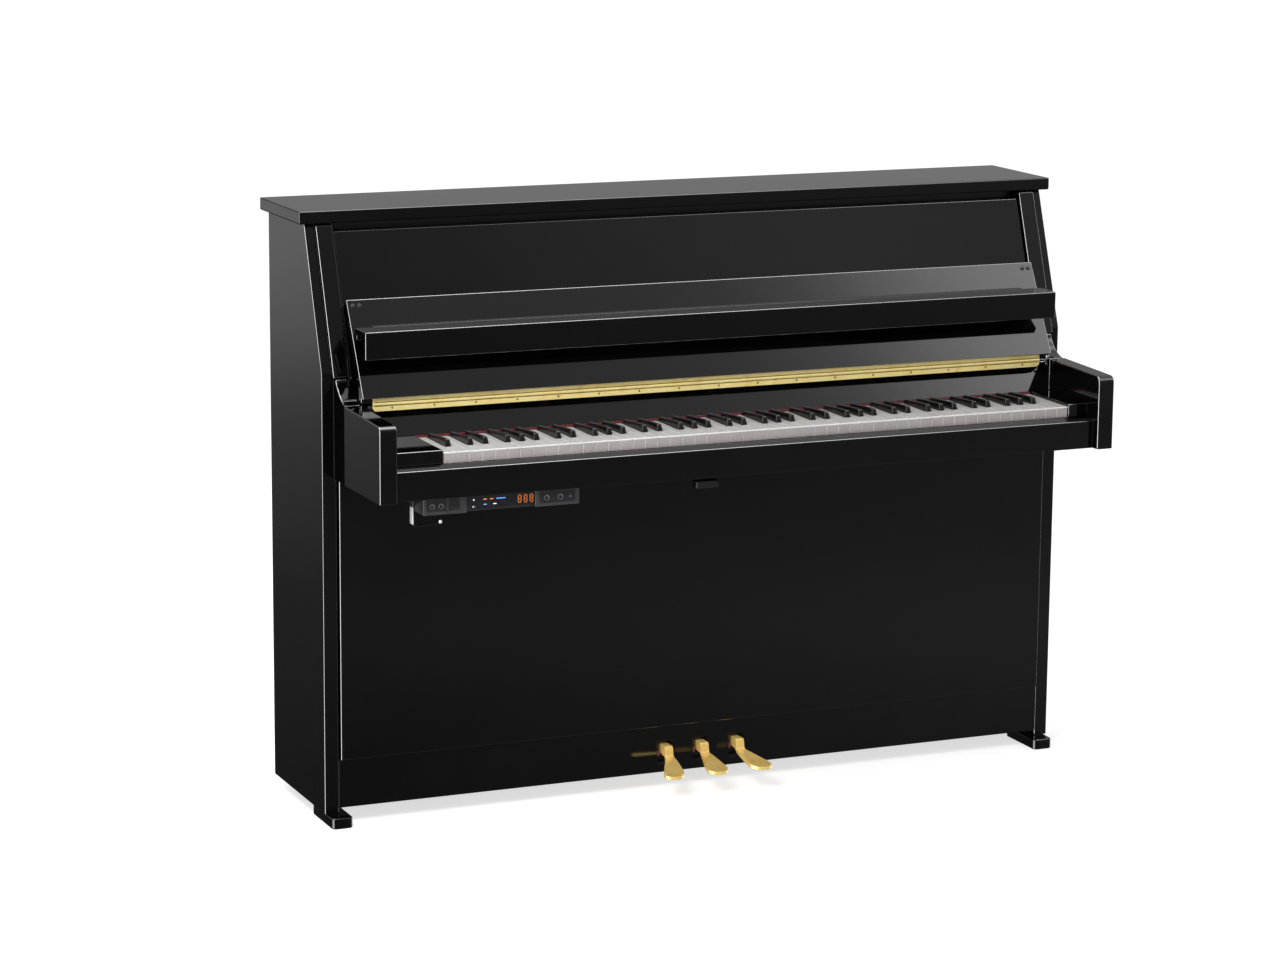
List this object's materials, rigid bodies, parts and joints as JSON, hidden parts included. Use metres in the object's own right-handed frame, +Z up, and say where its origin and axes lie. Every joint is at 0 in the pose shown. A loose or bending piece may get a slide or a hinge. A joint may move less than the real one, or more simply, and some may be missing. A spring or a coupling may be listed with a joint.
{
  "type": "upright piano",
  "caption": "Compact upright piano in black polish with hinged lid, folding fallboard with music shelf, brass pedals, moving keys and an under-keybed practice unit.",
  "frame": {"origin": "centre of the bounding box seen from above, at the floor", "axes": "+Z up, +X towards the treble end, +Y towards the back; the keyboard faces -Y"},
  "size_m": [1.493, 0.54, 1.09],
  "materials": {
    "ebony": "mirror-polished black polyester over wood",
    "brass": "polished",
    "steel": "nickel plated",
    "iron": "bronze-coloured lacquer",
    "white_key": "satin acrylic",
    "black_key": "satin phenolic",
    "felt_red": "felt",
    "felt_white": "felt on wood",
    "spruce": "clear satin lacquer",
    "maple": "plain",
    "plastic": "satin"
  },
  "bodies": {
    "cabinet": {"side_left": "ebony", "side_right": "ebony", "stile_left": "ebony", "stile_right": "ebony", "arm_left": "ebony", "arm_right": "ebony", "upper_front_panel": "ebony", "lower_front_panel": "ebony", "pedal_rail": "ebony", "key_slip": "ebony", "key_block_left": "ebony", "key_block_right": "ebony", "nameboard": "ebony", "toe_block_left": "ebony", "toe_block_right": "ebony", "bottom_board": "maple", "keybed": "maple", "pin_block": "maple", "action_frame": "maple", "back_frame": "spruce", "soundboard": "spruce", "key_frame": "spruce", "nameboard_felt": "felt_red", "iron_plate": "iron", "hammers_bass": "felt_white", "hammers_treble": "felt_white", "dampers": "felt_white", "fallboard_hinge_lower_leaf": "brass", "lid_hinge_fixed_leaf": "brass", "headphone_hook": "steel", "control_box": "plastic", "panel_latch": "plastic", "white_keys_bass": "white_key", "white_keys_treble": "white_key", "black_keys_bass": "black_key", "black_keys_treble": "black_key"},
    "lid": {"top_lid": "ebony", "lid_hinge_moving_leaf": "brass"},
    "fallboard": {"fallboard": "ebony", "fallboard_hinge_upper_leaf": "brass"},
    "music_shelf": {"music_shelf": "ebony"},
    "pedal_left": {"pedal_left": "brass"},
    "pedal_middle": {"pedal_middle": "brass"},
    "pedal_right": {"pedal_right": "brass"},
    "power_button": {"power_button": "steel"},
    "key_c4": {"key_c4": "white_key"},
    "key_c_sharp4": {"key_c_sharp4": "black_key"},
    "key_d4": {"key_d4": "white_key"},
    "key_d_sharp4": {"key_d_sharp4": "black_key"},
    "key_e4": {"key_e4": "white_key"},
    "key_f4": {"key_f4": "white_key"},
    "key_f_sharp4": {"key_f_sharp4": "black_key"},
    "key_g4": {"key_g4": "white_key"},
    "key_g_sharp4": {"key_g_sharp4": "black_key"},
    "key_a4": {"key_a4": "white_key"},
    "key_a_sharp4": {"key_a_sharp4": "black_key"},
    "key_b4": {"key_b4": "white_key"},
    "wippen_c4": {"wippen_c4": "maple"},
    "hammer_c4": {"hammer_c4": "felt_white"},
    "damper_c4": {"damper_c4": "felt_white"}
  },
  "joints": [
    {"name": "lid_hinge", "type": "hinge", "parent": "cabinet", "child": "lid", "pos_m": [0, 0.2652, 1.064], "axis": [1, 0, 0], "range_deg": [-95, 0]},
    {"name": "fallboard_hinge", "type": "hinge", "parent": "cabinet", "child": "fallboard", "pos_m": [0, -0.0845, 0.7665], "axis": [1, 0, 0], "range_deg": [0, 120]},
    {"name": "music_shelf_fold", "type": "hinge", "parent": "fallboard", "child": "music_shelf", "pos_m": [0, -0.0478, 0.8965], "axis": [1, 0, 0], "range_deg": [-118.5, 0]},
    {"name": "pedal_left_press", "type": "hinge", "parent": "cabinet", "child": "pedal_left", "pos_m": [-0.072, 0.04, 0.075], "axis": [1, 0, 0], "range_deg": [0, 8], "stiffness_Nm_per_rad": 10, "springref_deg": -8.59},
    {"name": "pedal_middle_press", "type": "hinge", "parent": "cabinet", "child": "pedal_middle", "pos_m": [0, 0.04, 0.075], "axis": [1, 0, 0], "range_deg": [0, 8], "stiffness_Nm_per_rad": 10, "springref_deg": -8.59},
    {"name": "pedal_right_press", "type": "hinge", "parent": "cabinet", "child": "pedal_right", "pos_m": [0.072, 0.04, 0.075], "axis": [1, 0, 0], "range_deg": [0, 8], "stiffness_Nm_per_rad": 10, "springref_deg": -8.59},
    {"name": "power_button_press", "type": "slide", "parent": "cabinet", "child": "power_button", "axis": [0, 1, 0], "range_m": [0, 0.0015], "stiffness_N_per_m": 400, "springref_m": -0.001},
    {"name": "key_c4_press", "type": "hinge", "parent": "cabinet", "child": "key_c4", "pos_m": [-0.03435, -0.01, 0.674], "axis": [1, 0, 0], "range_deg": [0, 2.6], "stiffness_Nm_per_rad": 0.3, "springref_deg": -28.65},
    {"name": "key_c_sharp4_press", "type": "hinge", "parent": "cabinet", "child": "key_c_sharp4", "pos_m": [-0.02023, -0.01, 0.674], "axis": [1, 0, 0], "range_deg": [0, 2.6], "stiffness_Nm_per_rad": 0.3, "springref_deg": -28.65},
    {"name": "key_d4_press", "type": "hinge", "parent": "cabinet", "child": "key_d4", "pos_m": [-0.00611, -0.01, 0.674], "axis": [1, 0, 0], "range_deg": [0, 2.6], "stiffness_Nm_per_rad": 0.3, "springref_deg": -28.65},
    {"name": "key_d_sharp4_press", "type": "hinge", "parent": "cabinet", "child": "key_d_sharp4", "pos_m": [0.008, -0.01, 0.674], "axis": [1, 0, 0], "range_deg": [0, 2.6], "stiffness_Nm_per_rad": 0.3, "springref_deg": -28.65},
    {"name": "key_e4_press", "type": "hinge", "parent": "cabinet", "child": "key_e4", "pos_m": [0.02212, -0.01, 0.674], "axis": [1, 0, 0], "range_deg": [0, 2.6], "stiffness_Nm_per_rad": 0.3, "springref_deg": -28.65},
    {"name": "key_f4_press", "type": "hinge", "parent": "cabinet", "child": "key_f4", "pos_m": [0.0359, -0.01, 0.674], "axis": [1, 0, 0], "range_deg": [0, 2.6], "stiffness_Nm_per_rad": 0.3, "springref_deg": -28.65},
    {"name": "key_f_sharp4_press", "type": "hinge", "parent": "cabinet", "child": "key_f_sharp4", "pos_m": [0.04935, -0.01, 0.674], "axis": [1, 0, 0], "range_deg": [0, 2.6], "stiffness_Nm_per_rad": 0.3, "springref_deg": -28.65},
    {"name": "key_g4_press", "type": "hinge", "parent": "cabinet", "child": "key_g4", "pos_m": [0.06279, -0.01, 0.674], "axis": [1, 0, 0], "range_deg": [0, 2.6], "stiffness_Nm_per_rad": 0.3, "springref_deg": -28.65},
    {"name": "key_g_sharp4_press", "type": "hinge", "parent": "cabinet", "child": "key_g_sharp4", "pos_m": [0.07624, -0.01, 0.674], "axis": [1, 0, 0], "range_deg": [0, 2.6], "stiffness_Nm_per_rad": 0.3, "springref_deg": -28.65},
    {"name": "key_a4_press", "type": "hinge", "parent": "cabinet", "child": "key_a4", "pos_m": [0.08969, -0.01, 0.674], "axis": [1, 0, 0], "range_deg": [0, 2.6], "stiffness_Nm_per_rad": 0.3, "springref_deg": -28.65},
    {"name": "key_a_sharp4_press", "type": "hinge", "parent": "cabinet", "child": "key_a_sharp4", "pos_m": [0.10313, -0.01, 0.674], "axis": [1, 0, 0], "range_deg": [0, 2.6], "stiffness_Nm_per_rad": 0.3, "springref_deg": -28.65},
    {"name": "key_b4_press", "type": "hinge", "parent": "cabinet", "child": "key_b4", "pos_m": [0.11658, -0.01, 0.674], "axis": [1, 0, 0], "range_deg": [0, 2.6], "stiffness_Nm_per_rad": 0.3, "springref_deg": -28.65},
    {"name": "wippen_c4_lift", "type": "hinge", "parent": "cabinet", "child": "wippen_c4", "pos_m": [-0.03435, 0.1, 0.728], "axis": [1, 0, 0], "range_deg": [-7.9, 0]},
    {"name": "hammer_c4_swing", "type": "hinge", "parent": "cabinet", "child": "hammer_c4", "pos_m": [-0.03435, 0.088, 0.78], "axis": [1, 0, 0], "range_deg": [-20.1, 0]},
    {"name": "damper_c4_swing", "type": "hinge", "parent": "cabinet", "child": "damper_c4", "pos_m": [-0.03435, 0.114, 0.8], "axis": [1, 0, 0], "range_deg": [0, 4.1]}
  ],
  "couplings": [
    {"joint": "music_shelf_fold", "follows": "fallboard_hinge", "ratio": -0.98333},
    {"joint": "wippen_c4_lift", "follows": "key_c4_press", "ratio": -3},
    {"joint": "hammer_c4_swing", "follows": "key_c4_press", "ratio": -7.7},
    {"joint": "damper_c4_swing", "follows": "key_c4_press", "ratio": 1.55}
  ]
}
